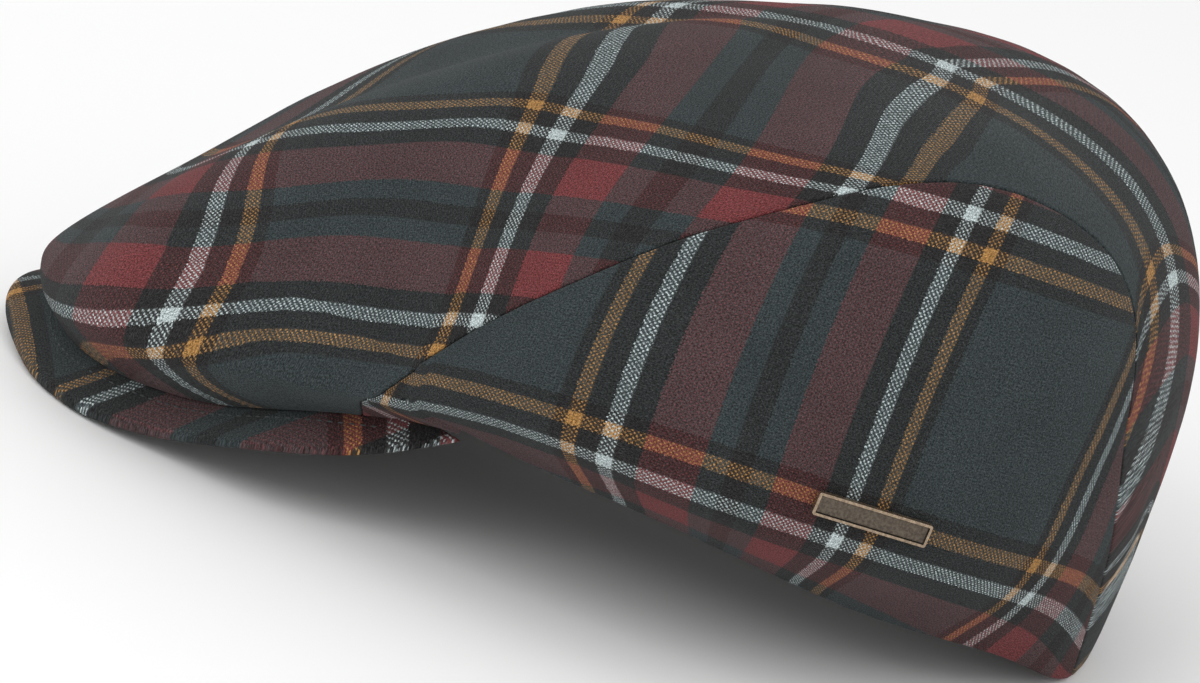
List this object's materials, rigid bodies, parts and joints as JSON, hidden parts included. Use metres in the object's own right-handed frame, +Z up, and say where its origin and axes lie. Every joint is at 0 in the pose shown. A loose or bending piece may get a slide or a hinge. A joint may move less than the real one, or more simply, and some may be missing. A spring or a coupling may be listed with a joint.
{
  "type": "flat cap",
  "caption": "Soft duckbill flat cap in tartan wool: a long top panel, two side panels, a curved stiff visor under the front and a bare metal badge on the left side.",
  "frame": {"origin": "centre of the bounding box's bottom, on the surface that the cap lies on", "axes": "+Z up, the visor towards -Y and the back of the crown towards +Y, the wearer's left towards +X"},
  "size_m": [0.203, 0.2728, 0.1265],
  "materials": {
    "tartan_wool": "matt, slightly napped twill in a green, black, red, orange and white tartan",
    "antique_bronze": "antiqued, with light worn edges"
  },
  "bodies": {
    "root": {"top_panel": "tartan_wool", "side_panel_left": "tartan_wool", "side_panel_right": "tartan_wool", "visor": "tartan_wool", "badge": "antique_bronze"}
  },
  "joints": []
}
